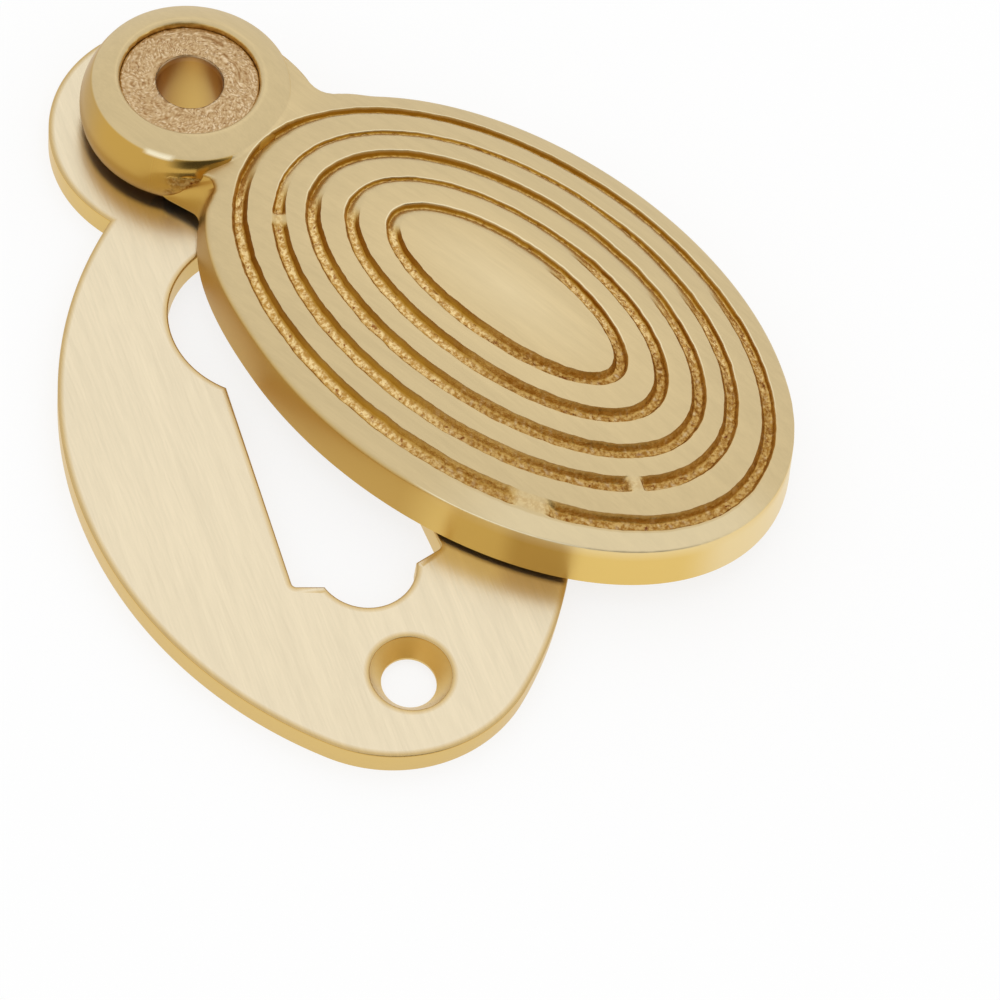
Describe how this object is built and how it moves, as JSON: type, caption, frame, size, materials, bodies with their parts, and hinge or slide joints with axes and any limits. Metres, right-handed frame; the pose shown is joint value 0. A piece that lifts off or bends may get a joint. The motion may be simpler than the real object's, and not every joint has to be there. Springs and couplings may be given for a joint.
{
  "type": "covered keyhole escutcheon",
  "caption": "Oval brass keyhole plate with a round tab, a countersunk screw hole and a domed, grooved cover that swings on a hollow rivet.",
  "frame": {"origin": "on the pivot's axis, at the plate's back face", "axes": "+Y up the plate's long axis towards its tab, +Z out of the front face along the screw holes"},
  "size_m": [0.0479, 0.061, 0.0089],
  "materials": {
    "plate_brass": "satin, brushed along its length",
    "rivet_brass": "rough from spinning over",
    "cover_brass": "satin lands and polished edges, with rough cast grooves"
  },
  "bodies": {
    "plate": {"back_plate": "plate_brass", "pivot_rivet": "rivet_brass"},
    "cover": {"swing_cover": "cover_brass"}
  },
  "joints": [
    {"name": "cover_swing", "type": "hinge", "parent": "plate", "child": "cover", "pos_m": [0, 0, 0.0027], "axis": [0, 0, 1], "continuous": true}
  ]
}
